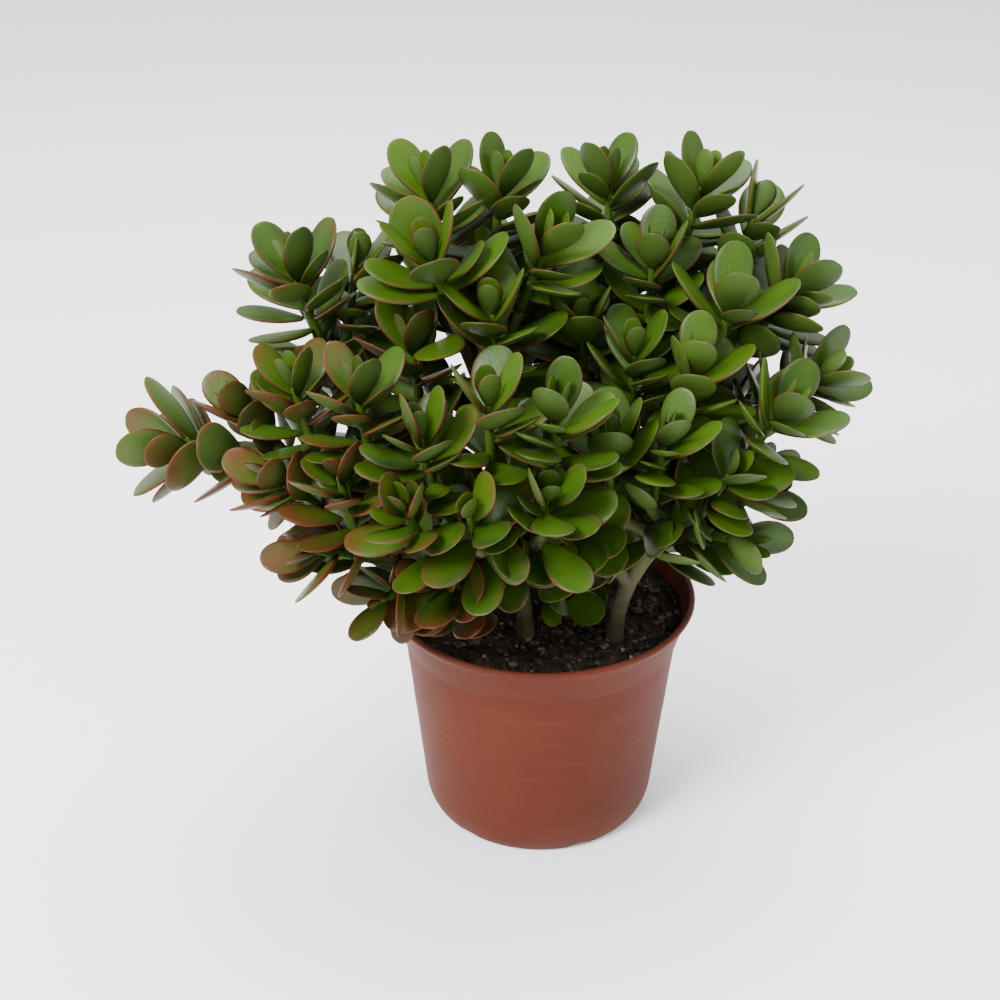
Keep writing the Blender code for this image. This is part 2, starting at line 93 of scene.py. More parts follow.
# Leaves: one outline for all, scaled by each leaf's length.
LEAF_WIDEST = 0.62                 # share of the length where the blade is widest
LEAF_WIDTH = 0.66                  # width over length
LEAF_THICKNESS = 0.125             # thickness over length
LEAF_CURL = 0.13                   # how far the tip bends towards the shoot's axis
LEAF_CUP = 0.10                    # how far the margins lift
LEAF_CLEARANCE = 0.55 * MM
LEAF_AROUND = 8
LEAF_ALONG = 8

# Bark: steps and sides of the trunks and twigs, and the low rings where leaves once stood.
TRUNK_STEPS = 22
TRUNK_SIDES = 12
TRUNK_TAPER = 0.36                 # part of the foot's radius lost at the top
FOOT_FLARE = 1.06
TWIG_STEPS = 4                     # between two points of a twig
TWIG_SIDES = 10
SCAR_START = 3.0 * MM
SCAR_SPACING = 13.0 * MM
SCAR_WIDTH = 1.3 * MM
SCAR_RISE = 0.07                   # share of the radius

# The pairs of a shoot, counted down from its tip:
# share of the leaf length, angle from the shoot's axis in degrees, distance below the tip.
PAIRS = (
    (0.50, 18.0, 1.0 * MM),
    (0.84, 36.0, 6.0 * MM),
    (1.00, 54.0, 13.0 * MM),
    (1.00, 69.0, 22.0 * MM),
    (0.92, 80.0, 33.0 * MM),
)
FILL_OFFSET = 2.4 * MM             # where an extra leaf starts, out from the twig's middle
FILL_START = 4.0 * MM              # first extra leaves, back from the twig's end
FILL_SPACING = 11.0 * MM
FILL_STEPS = 4                     # places for extra leaves along a twig
BUD_ANGLE = 9.0
BUD_SIZE = 0.24                    # share of the leaf length
SHOOT_STEPS = 8
SHOOT_SIDES = 8
SHOOT_TIP_RADIUS = 2.0 * MM
SHOOT_BASE_RADIUS = 3.0 * MM
SHOOT_TAIL = 9.0 * MM              # bare length below the lowest pair
TWIG_NECK = 4.0 * MM               # straight end of a twig, in line with its shoot

# Woody stems: points up the trunk in millimetres, and the radius at the foot.
STEMS = {
    "stem_front_left": (((-36, -38, 126), (-42, -44, 150), (-62, -56, 182)), 4.6),
    "stem_left": (((-50, 12, 126), (-62, 10, 165), (-92, 0, 215)), 5.2),
    "stem_front": (((-8, -32, 126), (-12, -42, 165), (-24, -60, 215)), 5.0),
    "stem_right": (((40, -32, 126), (46, -38, 160), (66, -42, 200)), 5.0),
    "stem_middle": (((-8, 10, 126), (-16, 8, 180), (-32, 6, 250)), 5.6),
    "stem_back_right": (((46, 22, 126), (56, 20, 180), (78, 14, 238)), 5.4),
    "stem_back": (((6, 48, 126), (14, 52, 185), (30, 58, 255)), 5.4),
}

# Leafy shoots, front and outer ones first: stem, where the twig leaves the trunk (0 foot, 1 top),
# tip in millimetres, heading and tilt from upright in degrees, turn of the pairs, pairs, leaf length.
SHOOTS = (
    ("shoot_far_left", "stem_left", 0.85, (-188, -32, 236), 185, 80, 90, (1, 4), 44),
    ("shoot_left_low", "stem_left", 0.95, (-154, -16, 247), 190, 38, 20, (0, 4), 38),
    ("shoot_left_top", "stem_left", 1.00, (-128, 8, 314), 185, 16, 40, (0, 5), 42),
    ("shoot_left_top_inner", "stem_left", 1.00, (-98, 24, 312), 30, 10, 75, (0, 5), 40),
    ("shoot_left_middle", "stem_front_left", 1.00, (-124, -40, 272), 190, 14, 50, (0, 5), 37),
    ("shoot_left_inner", "stem_front_left", 1.00, (-90, -60, 278), 200, 8, 20, (0, 5), 38),
    ("shoot_front_left_outer", "stem_front_left", 0.90, (-132, -62, 233), 200, 45, 40, (0, 4), 38),
    ("shoot_front_left_mid", "stem_front_left", 0.90, (-98, -80, 244), 220, 12, 15, (0, 5), 38),
    ("shoot_front_left_low", "stem_front_left", 0.70, (-110, -92, 208), 212, 68, 50, (0, 3), 37),
    ("shoot_front_left_hang", "stem_front_left", 0.45, (-80, -87, 177), 225, 92, 0, (1, 3), 34),
    ("shoot_crown_left", "stem_middle", 0.70, (-68, -14, 284), 200, 8, 20, (0, 4), 40),
    ("shoot_front_upper_left", "stem_front", 0.90, (-58, -88, 268), 230, 15, 65, (0, 5), 38),
    ("shoot_front_upper", "stem_front", 1.00, (-26, -84, 284), 260, 8, 30, (0, 5), 40),
    ("shoot_front_mid_left", "stem_front", 0.80, (-64, -108, 240), 235, 30, 10, (0, 4), 36),
    ("shoot_front_mid", "stem_front", 0.80, (-34, -112, 240), 255, 32, 55, (0, 4), 37),
    ("shoot_front_low", "stem_front_left", 0.40, (-50, -88, 190), 250, 45, 15, (0, 4), 37),
    ("shoot_front_right_upper", "stem_front", 1.00, (6, -88, 282), 290, 10, 50, (0, 5), 39),
    ("shoot_front_right_mid", "stem_front", 0.80, (2, -110, 248), 280, 30, 0, (0, 4), 38),
    ("shoot_front_right_low", "stem_right", 0.50, (14, -84, 216), 260, 45, 40, (0, 4), 36),
    ("shoot_over_soil", "stem_middle", 0.10, (12, -30, 150), 285, 60, 45, (0, 3), 32),
    ("shoot_right_front_upper", "stem_right", 0.90, (32, -62, 256), 250, 8, 20, (0, 5), 38),
    ("shoot_right_front_upper_b", "stem_right", 1.00, (58, -66, 260), 290, 12, 60, (0, 5), 36),
    ("shoot_right_mid", "stem_back_right", 0.80, (44, -26, 286), 270, 8, 15, (0, 5), 38),
    ("shoot_right_mid_b", "stem_back_right", 0.90, (74, -34, 284), 300, 8, 55, (0, 5), 38),
    ("shoot_right_big", "stem_back_right", 1.00, (92, -8, 306), 320, 10, 40, (0, 4), 44),
    ("shoot_right_outer_top", "stem_back_right", 1.00, (128, 18, 306), 5, 35, 10, (0, 5), 42),
    ("shoot_right_outer", "stem_back_right", 0.90, (142, 0, 264), 350, 50, 35, (0, 5), 41),
    ("shoot_right_outer_front", "stem_right", 1.00, (118, -44, 264), 330, 30, 20, (0, 5), 40),
    ("shoot_right_lower", "stem_right", 0.90, (92, -62, 238), 310, 32, 65, (0, 4), 38),
    ("shoot_right_lower_b", "stem_right", 0.80, (112, -26, 212), 335, 62, 30, (0, 5), 38),
    ("shoot_right_low", "stem_right", 0.60, (98, -62, 200), 325, 85, 0, (0, 2), 40),
    ("shoot_top_left", "stem_middle", 1.00, (-60, 18, 354), 190, 12, 35, (0, 5), 42),
    ("shoot_top_left_front", "stem_middle", 1.00, (-56, -18, 331), 220, 20, 60, (0, 4), 44),
    ("shoot_top_middle", "stem_middle", 1.00, (-24, 26, 354), 30, 5, 15, (0, 5), 40),
    ("shoot_top_front", "stem_middle", 1.00, (0, -4, 334), 330, 22, 50, (0, 5), 43),
    ("shoot_crown_front", "stem_middle", 0.80, (-26, -24, 306), 250, 15, 10, (0, 4), 42),
    ("shoot_crown_centre", "stem_back", 0.90, (18, -2, 292), 250, 12, 35, (0, 4), 38),
    ("shoot_crown_right", "stem_back_right", 1.00, (54, 8, 324), 280, 10, 70, (0, 5), 38),
    ("shoot_top_right", "stem_back", 1.00, (80, 46, 350), 20, 15, 25, (0, 5), 41),
    ("shoot_top_right_outer", "stem_back_right", 1.00, (108, 42, 336), 20, 22, 55, (0, 5), 41),
    ("shoot_top_back", "stem_back", 1.00, (32, 56, 348), 100, 5, 40, (0, 5), 40),
    ("shoot_back_left", "stem_left", 0.90, (-100, 58, 242), 130, 30, 10, (0, 5), 40),
    ("shoot_back_left_low", "stem_left", 0.60, (-84, 74, 200), 130, 60, 40, (0, 4), 38),
    ("shoot_back_middle_left", "stem_middle", 0.80, (-30, 72, 302), 110, 20, 65, (0, 5), 40),
    ("shoot_back_middle", "stem_back", 0.80, (-10, 98, 284), 100, 30, 20, (0, 5), 40),
    ("shoot_back_middle_low", "stem_back", 0.60, (-20, 104, 230), 105, 50, 50, (0, 5), 38),
    ("shoot_back_right_mid", "stem_back", 0.90, (48, 98, 294), 70, 28, 0, (0, 5), 40),
    ("shoot_back_right_low", "stem_back", 0.60, (44, 106, 236), 75, 50, 35, (0, 5), 38),
    ("shoot_back_right_outer", "stem_back_right", 0.80, (98, 78, 270), 45, 35, 60, (0, 5), 40),
    ("shoot_back_right_outer_low", "stem_back_right", 0.60, (108, 62, 214), 35, 60, 20, (0, 5), 38),
)


# Where the camera and the lights aim, and the camera's film.
AIM = Vector((0.0, 0.0, 200.0 * MM))
SENSOR_WIDTH = 36.0
CAMERA_SHIFT = (-0.0429, -0.0190)


# ---------------------------------------------------------------- settings
def colour_setting(name, description, default):
    return FloatVectorProperty(name=name, description=description, subtype="COLOR", size=3,
                               min=0.0, max=1.0, default=default)


class JadePotSettings(bpy.types.PropertyGroup):
    sides: IntProperty(name="Sides", description="Faces around the pot", default=96, min=16)
    colour: colour_setting("Colour", "Colour of the pot's plastic", (0.077, 0.0160, 0.0075))
    soil_colour: colour_setting("Soil", "Colour of the damp potting mix", (0.014, 0.010, 0.008))
    crumbs: IntProperty(name="Crumbs", description="Number of loose crumbs on the soil",
                        default=1300, min=0)


class JadePlantSettings(bpy.types.PropertyGroup):
    # Bright and dark green also carry painted light: high shoots lean to bright green, and bright green
    # lightens the leaves' middles as a painted highlight.
    bright: colour_setting("Bright green", "Colour of the freshest leaves", (0.042, 0.090, 0.003))
    dark: colour_setting("Dark green", "Colour of the deepest green leaves", (0.004, 0.018, 0.0015))
    pale: colour_setting("Underside", "Colour of the leaves' undersides", (0.058, 0.092, 0.026))
    blush: colour_setting("Blush", "Reddish colour of the leaf margins", (0.080, 0.018, 0.007))
    bark: colour_setting("Bark", "Colour of the woody stems", (0.034, 0.034, 0.013))
    vary: FloatProperty(name="Variation", description="How much the leaves' widths differ",
                        subtype="FACTOR", default=0.06, min=0.0, max=0.2)


class JadeStageSettings(bpy.types.PropertyGroup):
    floor_size: FloatProperty(name="Floor", description="Width of the floor", unit="LENGTH", default=12.0)
    key_power: FloatProperty(name="Key light", description="Power of the light from the left, in watts",
                             default=110.0, min=0.0)
    fill_power: FloatProperty(name="Fill light", description="Power of the light from the right, in watts",
                              default=16.0, min=0.0)
    top_power: FloatProperty(name="Top light", description="Power of the light from above, in watts",
                             default=60.0, min=0.0)
    surround: FloatProperty(name="Surround", description="Brightness of the white surroundings",
                            default=1.35, min=0.0)
    lens: FloatProperty(name="Lens", description="Focal length in millimetres", default=60.0, min=10.0)
    distance: FloatProperty(name="Distance", description="From the camera to the plant", unit="LENGTH",
                            default=0.89)
    elevation: FloatProperty(name="Elevation", description="How far above level the camera looks from",
                             subtype="ANGLE", unit="ROTATION", default=math.radians(27.4))
    roll: FloatProperty(name="Roll", description="Turn of the camera about its view", subtype="ANGLE",
                        unit="ROTATION", default=math.radians(0.89))


# ---------------------------------------------------------------- shader maths
class Value:
    """A number or colour that varies over a surface. Arithmetic on it adds Math nodes."""

    def __init__(self, graph, socket):
        self.graph = graph
        self.socket = socket

    def math(self, operation, *terms):
        return self.graph.value("ShaderNodeMath", {"operation": operation}, dict(enumerate(terms)))

    def __add__(self, other):
        return self.math("ADD", self, other)

    __radd__ = __add__

    def __sub__(self, other):
        return self.math("SUBTRACT", self, other)

    def __rsub__(self, other):
        return self.math("SUBTRACT", other, self)

    def __mul__(self, other):
        return self.math("MULTIPLY", self, other)

    __rmul__ = __mul__

    def rise(self, low, high):
        """0 below low, 1 above high, smooth between."""
        return self.graph.value("ShaderNodeMapRange", {"interpolation_type": "SMOOTHSTEP"},
                                {"Value": self, "From Min": low, "From Max": high})


# Numbers of the colour sockets of a Mix node.
MIX_FACTOR, MIX_A, MIX_B, MIX_COLOUR = 0, 6, 7, 2


class Graph:
    """The nodes of one material."""

    def __init__(self, name, **constants):
        self.material = bpy.data.materials.new(name)
        self.material.use_nodes = True
        self.tree = self.material.node_tree
        self.shader = self.tree.nodes["Principled BSDF"]
        for socket, constant in constants.items():
            self.shader.inputs[socket.replace("_", " ")].default_value = constant

    def node(self, kind, settings, inputs):
        made = self.tree.nodes.new(kind)
        for key, setting in settings.items():
            setattr(made, key, setting)
        for key, given in inputs.items():
            if isinstance(given, Value):
                self.tree.links.new(given.socket, made.inputs[key])
            else:
                made.inputs[key].default_value = given
        return made

    def value(self, kind, settings, inputs, output=0):
        return Value(self, self.node(kind, settings, inputs).outputs[output])

    def place(self):
        return self.value("ShaderNodeTexCoord", {}, {}, "Object")

    def attribute(self, name):
        return self.value("ShaderNodeAttribute", {"attribute_name": name}, {}, "Fac")

    def noise(self, scale, detail=3.0, roughness=0.55):
        inputs = {"Vector": self.place(), "Scale": scale, "Detail": detail, "Roughness": roughness}
        return self.value("ShaderNodeTexNoise", {}, inputs)

    def cells(self, scale):
        inputs = {"Vector": self.place(), "Scale": scale}
        return self.value("ShaderNodeTexVoronoi", {}, inputs, "Distance")

    def mix(self, factor, first, second):
        """Colour between the first and the second."""
        inputs = {MIX_FACTOR: factor, MIX_A: colour(first), MIX_B: colour(second)}
        return self.value("ShaderNodeMix", {"data_type": "RGBA"}, inputs, MIX_COLOUR)

    def bump(self, height, distance, strength):
        inputs = {"Height": height, "Distance": distance, "Strength": strength}
        return self.value("ShaderNodeBump", {}, inputs)

    def finish(self, **sockets):
        """Link what varies to the shader's sockets; returns the material."""
        for socket, given in sockets.items():
            self.tree.links.new(given.socket, self.shader.inputs[socket.replace("_", " ")])
        return self.material


def colour(given):
    return given if isinstance(given, Value) else (*given, 1.0)


# Kept on every leaf's points: 0 at the midrib to 1 at the margin, 0 above to 1 below,
# 0 at the foot to 1 at the tip, how bright a green (raised on high shoots as painted light), how reddish.
LEAF_LAYERS = ("margin", "under", "along", "tone", "blush")

LEAF_DOTS = (0.11, 0.15, 0.05)
OLD_BARK = (0.055, 0.045, 0.028)
DRY_BARK = (0.17, 0.16, 0.10)
YOUNG_BARK = (0.07, 0.095, 0.02)
LEAF_SCAR = (0.06, 0.045, 0.028)
HUMUS = (0.055, 0.038, 0.026)
BARK_CHIP = (0.15, 0.10, 0.062)
DRY_CHIP = (0.22, 0.18, 0.13)
PALE_STREAK = (0.16, 0.055, 0.032)
DUST = (0.15, 0.075, 0.05)


def leaf_material(plant):
    """Green with waxy dots, paler below, flushed and rimmed with red-brown, with a painted highlight that
    lightens each blade towards its midrib.
    """
    graph = Graph("jade_leaf", Specular_IOR_Level=0.2)
    margin, under, along, tone, blush = (graph.attribute(layer) for layer in LEAF_LAYERS)
    patches = graph.noise(55.0)
    fine = graph.noise(420.0)
    dots = 1.0 - graph.cells(900.0).rise(0.10, 0.30)
    green = graph.mix(tone + (patches - 0.5) * 0.7, plant.dark, plant.bright)
    # Painted highlight: bright green mixed in towards the midrib, away from the margin.
    green = graph.mix((1.0 - margin).rise(0.1, 0.9) * 0.35, green, plant.bright)
    green = graph.mix(under * 0.35, green, plant.pale)
    green = graph.mix(dots * (0.16 + 0.2 * under), green, LEAF_DOTS)
    flush = (blush * (patches + 0.25) * (0.35 + 0.65 * along)).rise(0.30, 0.80)
    green = graph.mix(flush * 0.8, green, plant.blush)
    rim = (margin + (fine - 0.5) * 0.12).rise(0.74, 0.96) * (0.3 + blush) * patches.rise(0.22, 0.55)
    green = graph.mix(rim, green, plant.blush)
    gloss = 0.30 + 0.14 * fine + 0.1 * under
    relief = graph.bump(fine * 0.5 + patches * 0.5, 0.0006, 0.5)
    return graph.finish(Base_Color=green, Roughness=gloss, Normal=relief)


def bark_material(plant):
    """Grey-brown bark, greener towards the shoots, darker at the leaf scars."""
    graph = Graph("jade_bark", Specular_IOR_Level=0.2)
    rings = graph.attribute("rings")
    young = graph.attribute("young")
    coarse = graph.noise(90.0, 4.0)
    fine = graph.noise(600.0, 4.0, 0.65)
    wood = graph.mix(coarse.rise(0.35, 0.7), plant.bark, OLD_BARK)
    wood = graph.mix(fine.rise(0.55, 0.8) * 0.5, wood, DRY_BARK)
    wood = graph.mix(young.rise(0.3, 1.0) * 0.75, wood, YOUNG_BARK)
    wood = graph.mix(rings * 0.6, wood, LEAF_SCAR)
    relief = graph.bump(coarse * 0.6 + fine * 0.4 - rings * 0.4, 0.0012, 0.7)
    return graph.finish(Base_Color=wood, Roughness=0.62 + 0.25 * fine, Normal=relief)


def soil_material(pot):
    """Dark damp mix with a few dry chips."""
    graph = Graph("potting_mix", Specular_IOR_Level=0.15)
    coarse = graph.noise(160.0, 5.0, 0.7)
    fine = graph.noise(900.0, 4.0, 0.7)
    tone = graph.attribute("tone")
    earth = graph.mix(coarse.rise(0.4, 0.75), pot.soil_colour, HUMUS)
    earth = graph.mix(tone.rise(0.55, 1.0) * 0.8, earth, BARK_CHIP)
    earth = graph.mix(tone.rise(0.96, 0.99), earth, DRY_CHIP)
    relief = graph.bump(coarse * 0.5 + fine * 0.5, 0.002, 0.9)
    return graph.finish(Base_Color=earth, Roughness=0.72 + 0.25 * fine, Normal=relief)


def pot_material(pot):
    """Matt moulded plastic, cloudy, with faint level streaks and dust near the foot."""
    graph = Graph("pot_plastic", Specular_IOR_Level=0.09)
    place = graph.place()
    height = graph.value("ShaderNodeSeparateXYZ", {}, {"Vector": place}, "Z")
    cloud = graph.noise(14.0, 4.0)
    grain = graph.noise(1400.0, 2.0)
    level = graph.value("ShaderNodeMapping", {}, {"Vector": place, "Scale": (1.0, 1.0, 12.0)})
    streaks = graph.value("ShaderNodeTexNoise", {}, {"Vector": level, "Scale": 16.0, "Detail": 3.0})
    plastic = graph.mix(cloud.rise(0.3, 0.75) * 0.5, pot.colour, tuple(0.72 * c for c in pot.colour))
    plastic = graph.mix(streaks.rise(0.5, 0.8) * 0.14, plastic, PALE_STREAK)
    dust = (1.0 - height.rise(0.0, 0.03)) * cloud.rise(0.4, 0.7) * 0.22
    plastic = graph.mix(dust, plastic, DUST)
    gloss = 0.40 + 0.16 * cloud + 0.1 * streaks
    return graph.finish(Base_Color=plastic, Roughness=gloss, Normal=graph.bump(grain, 0.0002, 0.35))


# ---------------------------------------------------------------- mesh helpers
def piece_from(bm, name, mat, nodes=()):
    """A finished piece from a bmesh: smooth, riding on the root body."""
    mesh = bpy.data.meshes.new(name)
    bm.to_mesh(mesh)
    bm.free()
    mesh.materials.append(mat)
    mesh.shade_smooth()
    made = bpy.data.objects.new(name, mesh)
    bpy.context.scene.collection.objects.link(made)
    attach(made, "root")
    if nodes:
        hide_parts(*nodes)
    return made


def subdivide(piece):
    step = piece.modifiers.new("smooth", "SUBSURF")
    step.levels = step.render_levels = 1


def scaled_frame(place, turn, size):
    return Matrix.Translation(place) @ turn @ Matrix.Diagonal((size, size, size, 1.0))


def tube(bm, path, radii, sides):
    """A closed tapered tube drawn along a path by extruding its end; returns the rings of vertices."""
    ahead = (path[1] - path[0]).normalized()
    turn = ahead.to_track_quat("Z", "X").to_matrix().to_4x4()
    first = bmesh.ops.create_circle(bm, cap_ends=True, segments=sides, radius=1.0)["verts"]
    frame_now = scaled_frame(path[0], turn, radii[0])
    bmesh.ops.transform(bm, matrix=frame_now, verts=first)
    face = first[0].link_faces[0]
    bmesh.ops.reverse_faces(bm, faces=[face])
    rings = [list(first)]
    cap = bmesh.ops.duplicate(bm, geom=[face])["geom"]
    lid = [f for f in cap if isinstance(f, bmesh.types.BMFace)][0]
    bmesh.ops.reverse_faces(bm, faces=[lid])
    start = list(lid.verts)
    for i in range(1, len(path)):
        ahead_next = (path[min(i + 1, len(path) - 1)] - path[i - 1]).normalized()
        bend = ahead.rotation_difference(ahead_next).to_matrix().to_4x4()
        turn = bend @ turn
        ahead = ahead_next
        frame_next = scaled_frame(path[i], turn, radii[i])
        grown = bmesh.ops.extrude_face_region(bm, geom=[lid])["geom"]
        bmesh.ops.delete(bm, geom=[lid], context="FACES_ONLY")
        verts = [v for v in grown if isinstance(v, bmesh.types.BMVert)]
        lid = [f for f in grown if isinstance(f, bmesh.types.BMFace)][0]
        bmesh.ops.transform(bm, matrix=frame_next @ frame_now.inverted(), verts=verts)
        frame_now = frame_next
        rings.append(verts)
    bmesh.ops.remove_doubles(bm, verts=rings[0] + start, dist=1e-6)
    return rings


# ---------------------------------------------------------------- growth
def direction(heading, tilt):
    """Unit vector for a heading about Z (0 is +X) and a tilt from upright, in degrees."""
    heading = math.radians(heading)
    tilt = math.radians(tilt)
    return Vector((math.sin(tilt) * math.cos(heading), math.sin(tilt) * math.sin(heading), math.cos(tilt)))


def bezier(a, b, c, d, count):
    points = []
    for i in range(count + 1):
        t = i / count
        s = 1.0 - t
        points.append(a * s ** 3 + b * (3 * s * s * t) + c * (3 * s * t * t) + d * t ** 3)
    return points


def spline(a, b, c, d, t):
    """Point between b and c on a smooth line through a, b, c and d."""
    squared = (2 * a - 5 * b + 4 * c - d) * t * t
    return 0.5 * (2 * b + (c - a) * t + squared + (3 * b - a - 3 * c + d) * t ** 3)


def trunk_point(trunk, share):
    """Point on the smooth trunk through the foot, the middle and the top."""
    foot, middle, top = (Vector(p) * MM for p in trunk)
    control = middle * 2 - (foot + top) * 0.5
    s = 1.0 - share
    return foot * s * s + control * (2 * s * share) + top * share * share


def leaf_half_width(t):
    """Share of the greatest half width at a share of the leaf's length."""
    if t >= LEAF_WIDEST:
        past = (t - LEAF_WIDEST) / (1.0 - LEAF_WIDEST)
        return math.sqrt(max(0.0, 1.0 - past * past))
    rise = math.sin(0.5 * math.pi * t / LEAF_WIDEST)
    return 0.17 + 0.83 * rise ** 1.15


def leaf_half_thickness(t):
    """Share of the half thickness at a share of the leaf's length: blunt foot, thin tip."""
    return (0.55 + 0.45 * math.sin(math.pi * t ** 0.8)) * math.sqrt(max(0.0, 1.0 - t ** 6))


def unit_ball(around, along):
    bm = bmesh.new()
    bmesh.ops.create_uvsphere(bm, u_segments=around, v_segments=along, radius=1.0)
    verts = [v.co.copy() for v in bm.verts]
    faces = [tuple(v.index for v in f.verts) for f in bm.faces]
    bm.free()
    return verts, faces


def leaf_points(ball, leaf, extra=0.0):
    """Places of the ball's points once it is drawn out into a leaf."""
    base, out, lift, length = leaf
    side = lift.cross(out)
    points = []
    for co in ball:
        t = 0.5 * (1.0 - co.z)
        ring = math.sqrt(max(1e-12, 1.0 - co.z * co.z))
        across = co.x / ring if ring > 1e-4 else 0.0
        through = co.y / ring if ring > 1e-4 else 0.0
        half_width = 0.5 * length * LEAF_WIDTH * leaf_half_width(t) + extra
        half_thick = 0.5 * length * LEAF_THICKNESS * leaf_half_thickness(t) + extra
        cup = LEAF_CUP * LEAF_WIDTH * 0.5 * leaf_half_width(t) * across * across
        bend = length * (LEAF_CURL * t * t + cup)
        flat = base + out * (length * t) - side * (across * half_width)
        points.append(flat + lift * (bend + through * half_thick))
    return points


class Garden:
    """Everything that already stands in the pot, so that the next leaf can keep clear of it."""

    def __init__(self):
        self.solids = []
        self.ball, self.ball_faces = unit_ball(6, 5)
        foot = max(range(len(self.ball)), key=lambda i: self.ball[i].z)
        self.blade_faces = [face for face in self.ball_faces if foot not in face]

    def add(self, owner, points, faces):
        middle = sum(points, Vector()) / len(points)
        reach = max((p - middle).length for p in points)
        self.solids.append((owner, middle, reach, BVHTree.FromPolygons(points, faces)))

    def is_free(self, owner, points, faces):
        for p in points:
            radius = math.hypot(p.x, p.y)
            if p.z < SOIL_HEIGHT + SOIL_DOME + 2 * MM and radius < RIM_RADIUS:
                return False
            if p.z < RIM_HEIGHT + 1.5 * MM and abs(radius - RIM_RADIUS + 5 * MM) < 8 * MM:
                return False
        middle = sum(points, Vector()) / len(points)
        reach = max((p - middle).length for p in points)
        tree = BVHTree.FromPolygons(points, faces)
        for other, centre, far, solid in self.solids:
            if other != owner and (centre - middle).length < reach + far and tree.overlap(solid):
                return False
        return True

    def place_leaf(self, owner, base, axis, up_side, around, angle, length):
        """First free leaf near the wanted one: turned, raised or lowered, then shortened."""
        for scale in (1.0, 0.86, 0.72):
            for turn in (0, 14, -14, 28, -28):
                for pitch in (0, -12, 12, -24):
                    leaf = make_leaf(base, axis, up_side, around + turn, angle + pitch, length * scale)
                    points = leaf_points(self.ball, leaf, LEAF_CLEARANCE)
                    if self.is_free(owner, points, self.ball_faces):
                        self.add(owner, points, self.ball_faces)
                        return leaf
        return None

    def squeeze_in(self, base, axis, up_side, around, angle, length):
        """An extra leaf, clear of everything but what it grows on."""
        for scale in (1.0, 0.8):
            for turn in (0, 18, -18, 36, -36):
                for pitch in (0, -14, 14):
                    start, out, lift, size = make_leaf(base, axis, up_side, around + turn, angle + pitch,
                                                       length * scale)
                    leaf = (start + out * FILL_OFFSET, out, lift, size)
                    points = leaf_points(self.ball, leaf, LEAF_CLEARANCE)
                    if self.is_free(None, points, self.blade_faces):
                        self.add(None, points, self.ball_faces)
                        return leaf
        return None


def make_leaf(base, axis, up_side, around, angle, length):
    """A leaf as its base, outward direction, upper-side direction and length."""
    across = up_side.copy()
    across.rotate(Matrix.Rotation(math.radians(around), 3, axis))
    tilt = math.radians(angle)
    out = (axis * math.cos(tilt) + across * math.sin(tilt)).normalized()
    lift = (axis * math.sin(tilt) - across * math.cos(tilt)).normalized()
    return base + across * 0.8 * MM, out, lift, length


def tube_rings(path, radii, sides=6):
    """Points and faces of a closed tube with flat ends."""
    points = []
    for i, p in enumerate(path):
        ahead = (path[min(i + 1, len(path) - 1)] - path[max(i - 1, 0)]).normalized()
        across = ahead.orthogonal().normalized()
        for k in range(sides):
            spoke = across.copy()
            spoke.rotate(Matrix.Rotation(2 * math.pi * k / sides, 3, ahead))
            points.append(p + spoke * radii[i])
    faces = [tuple(range(sides)), tuple(range(len(points) - 1, len(points) - sides - 1, -1))]
    for i in range(len(path) - 1):
        for k in range(sides):
            n = (k + 1) % sides
            faces.append((i * sides + k, i * sides + n, (i + 1) * sides + n, (i + 1) * sides + k))
    return points, faces


@functools.cache
def lay_out():
    """Paths of every twig and shoot, and the leaves of every shoot."""
    garden = Garden()
    for name, (trunk, radius) in STEMS.items():
        path = [trunk_point(trunk, i / 4) for i in range(5)]
        path.insert(0, Vector((path[0].x, path[0].y, SOIL_HEIGHT + SOIL_DOME - STEM_DEPTH)))
        radii = [radius * MM] + [radius * MM * (1.0 - 0.09 * i) for i in range(5)]
        garden.add(name, *tube_rings(path, radii))
    twigs = []
    shoots = []
    for name, stem, share, tip, heading, tilt, turn, (first, last), leaf in SHOOTS:
        axis = direction(heading, tilt)
        tip = Vector(tip) * MM
        pairs = PAIRS[first:last]
        base = tip - axis * (pairs[-1][2] + SHOOT_TAIL)
        share = min(share, 0.97) - 0.02 * sum(1 for twig in twigs if twig[1] == stem)
        start = trunk_point(STEMS[stem][0], share)
        end = base - axis * GAP
        reach = (end - start).length
        above = trunk_point(STEMS[stem][0], min(1.0, share + 0.1))
        rise = (above - trunk_point(STEMS[stem][0], share - 0.1)).normalized()
        steps = max(2, round(reach / (30 * MM)))
        neck = end - axis * TWIG_NECK
        path = bezier(start, start + rise * (0.35 * reach), neck - axis * (0.35 * reach), neck, steps)
        path.append(end)
        thick = SHOOT_BASE_RADIUS + 0.4 * MM
        radii = [thick + (1 - i / steps) * 0.6 * MM for i in range(steps + 1)]
        radii.append(SHOOT_BASE_RADIUS)
        twigs.append((name, stem, path, radii))
        garden.add(stem, *tube_rings(path, radii))
        green = [base, tip]
        garden.add(name, *tube_rings(green, [SHOOT_BASE_RADIUS, SHOOT_TIP_RADIUS]))
        shoots.append((name, axis, direction(heading, tilt - 90), base, tip, turn, pairs, leaf * MM))
    grown = {}
    for name, axis, up_side, base, tip, turn, pairs, length in shoots:
        leaves = []
        for index, (share, angle, below) in enumerate(pairs):
            for half in (0, 180):
                node = tip - axis * (below + (0.4 * MM if half else 0.0))
                around = turn + 90 * index + half
                leaf = garden.place_leaf(name, node, axis, up_side, around, angle, length * share)
                if leaf:
                    leaves.append(leaf)
        grown[name] = leaves
    fill_out(garden, twigs, shoots, grown)
    return twigs, shoots, grown


def back_along(path, distance):
    """Point and direction on a path, a distance back from its end; None beyond its start."""
    for start, end in zip(path[-2::-1], path[:0:-1]):
        step = (end - start).length
        if distance < step:
            return end.lerp(start, distance / step), (end - start).normalized()
        distance -= step
    return None


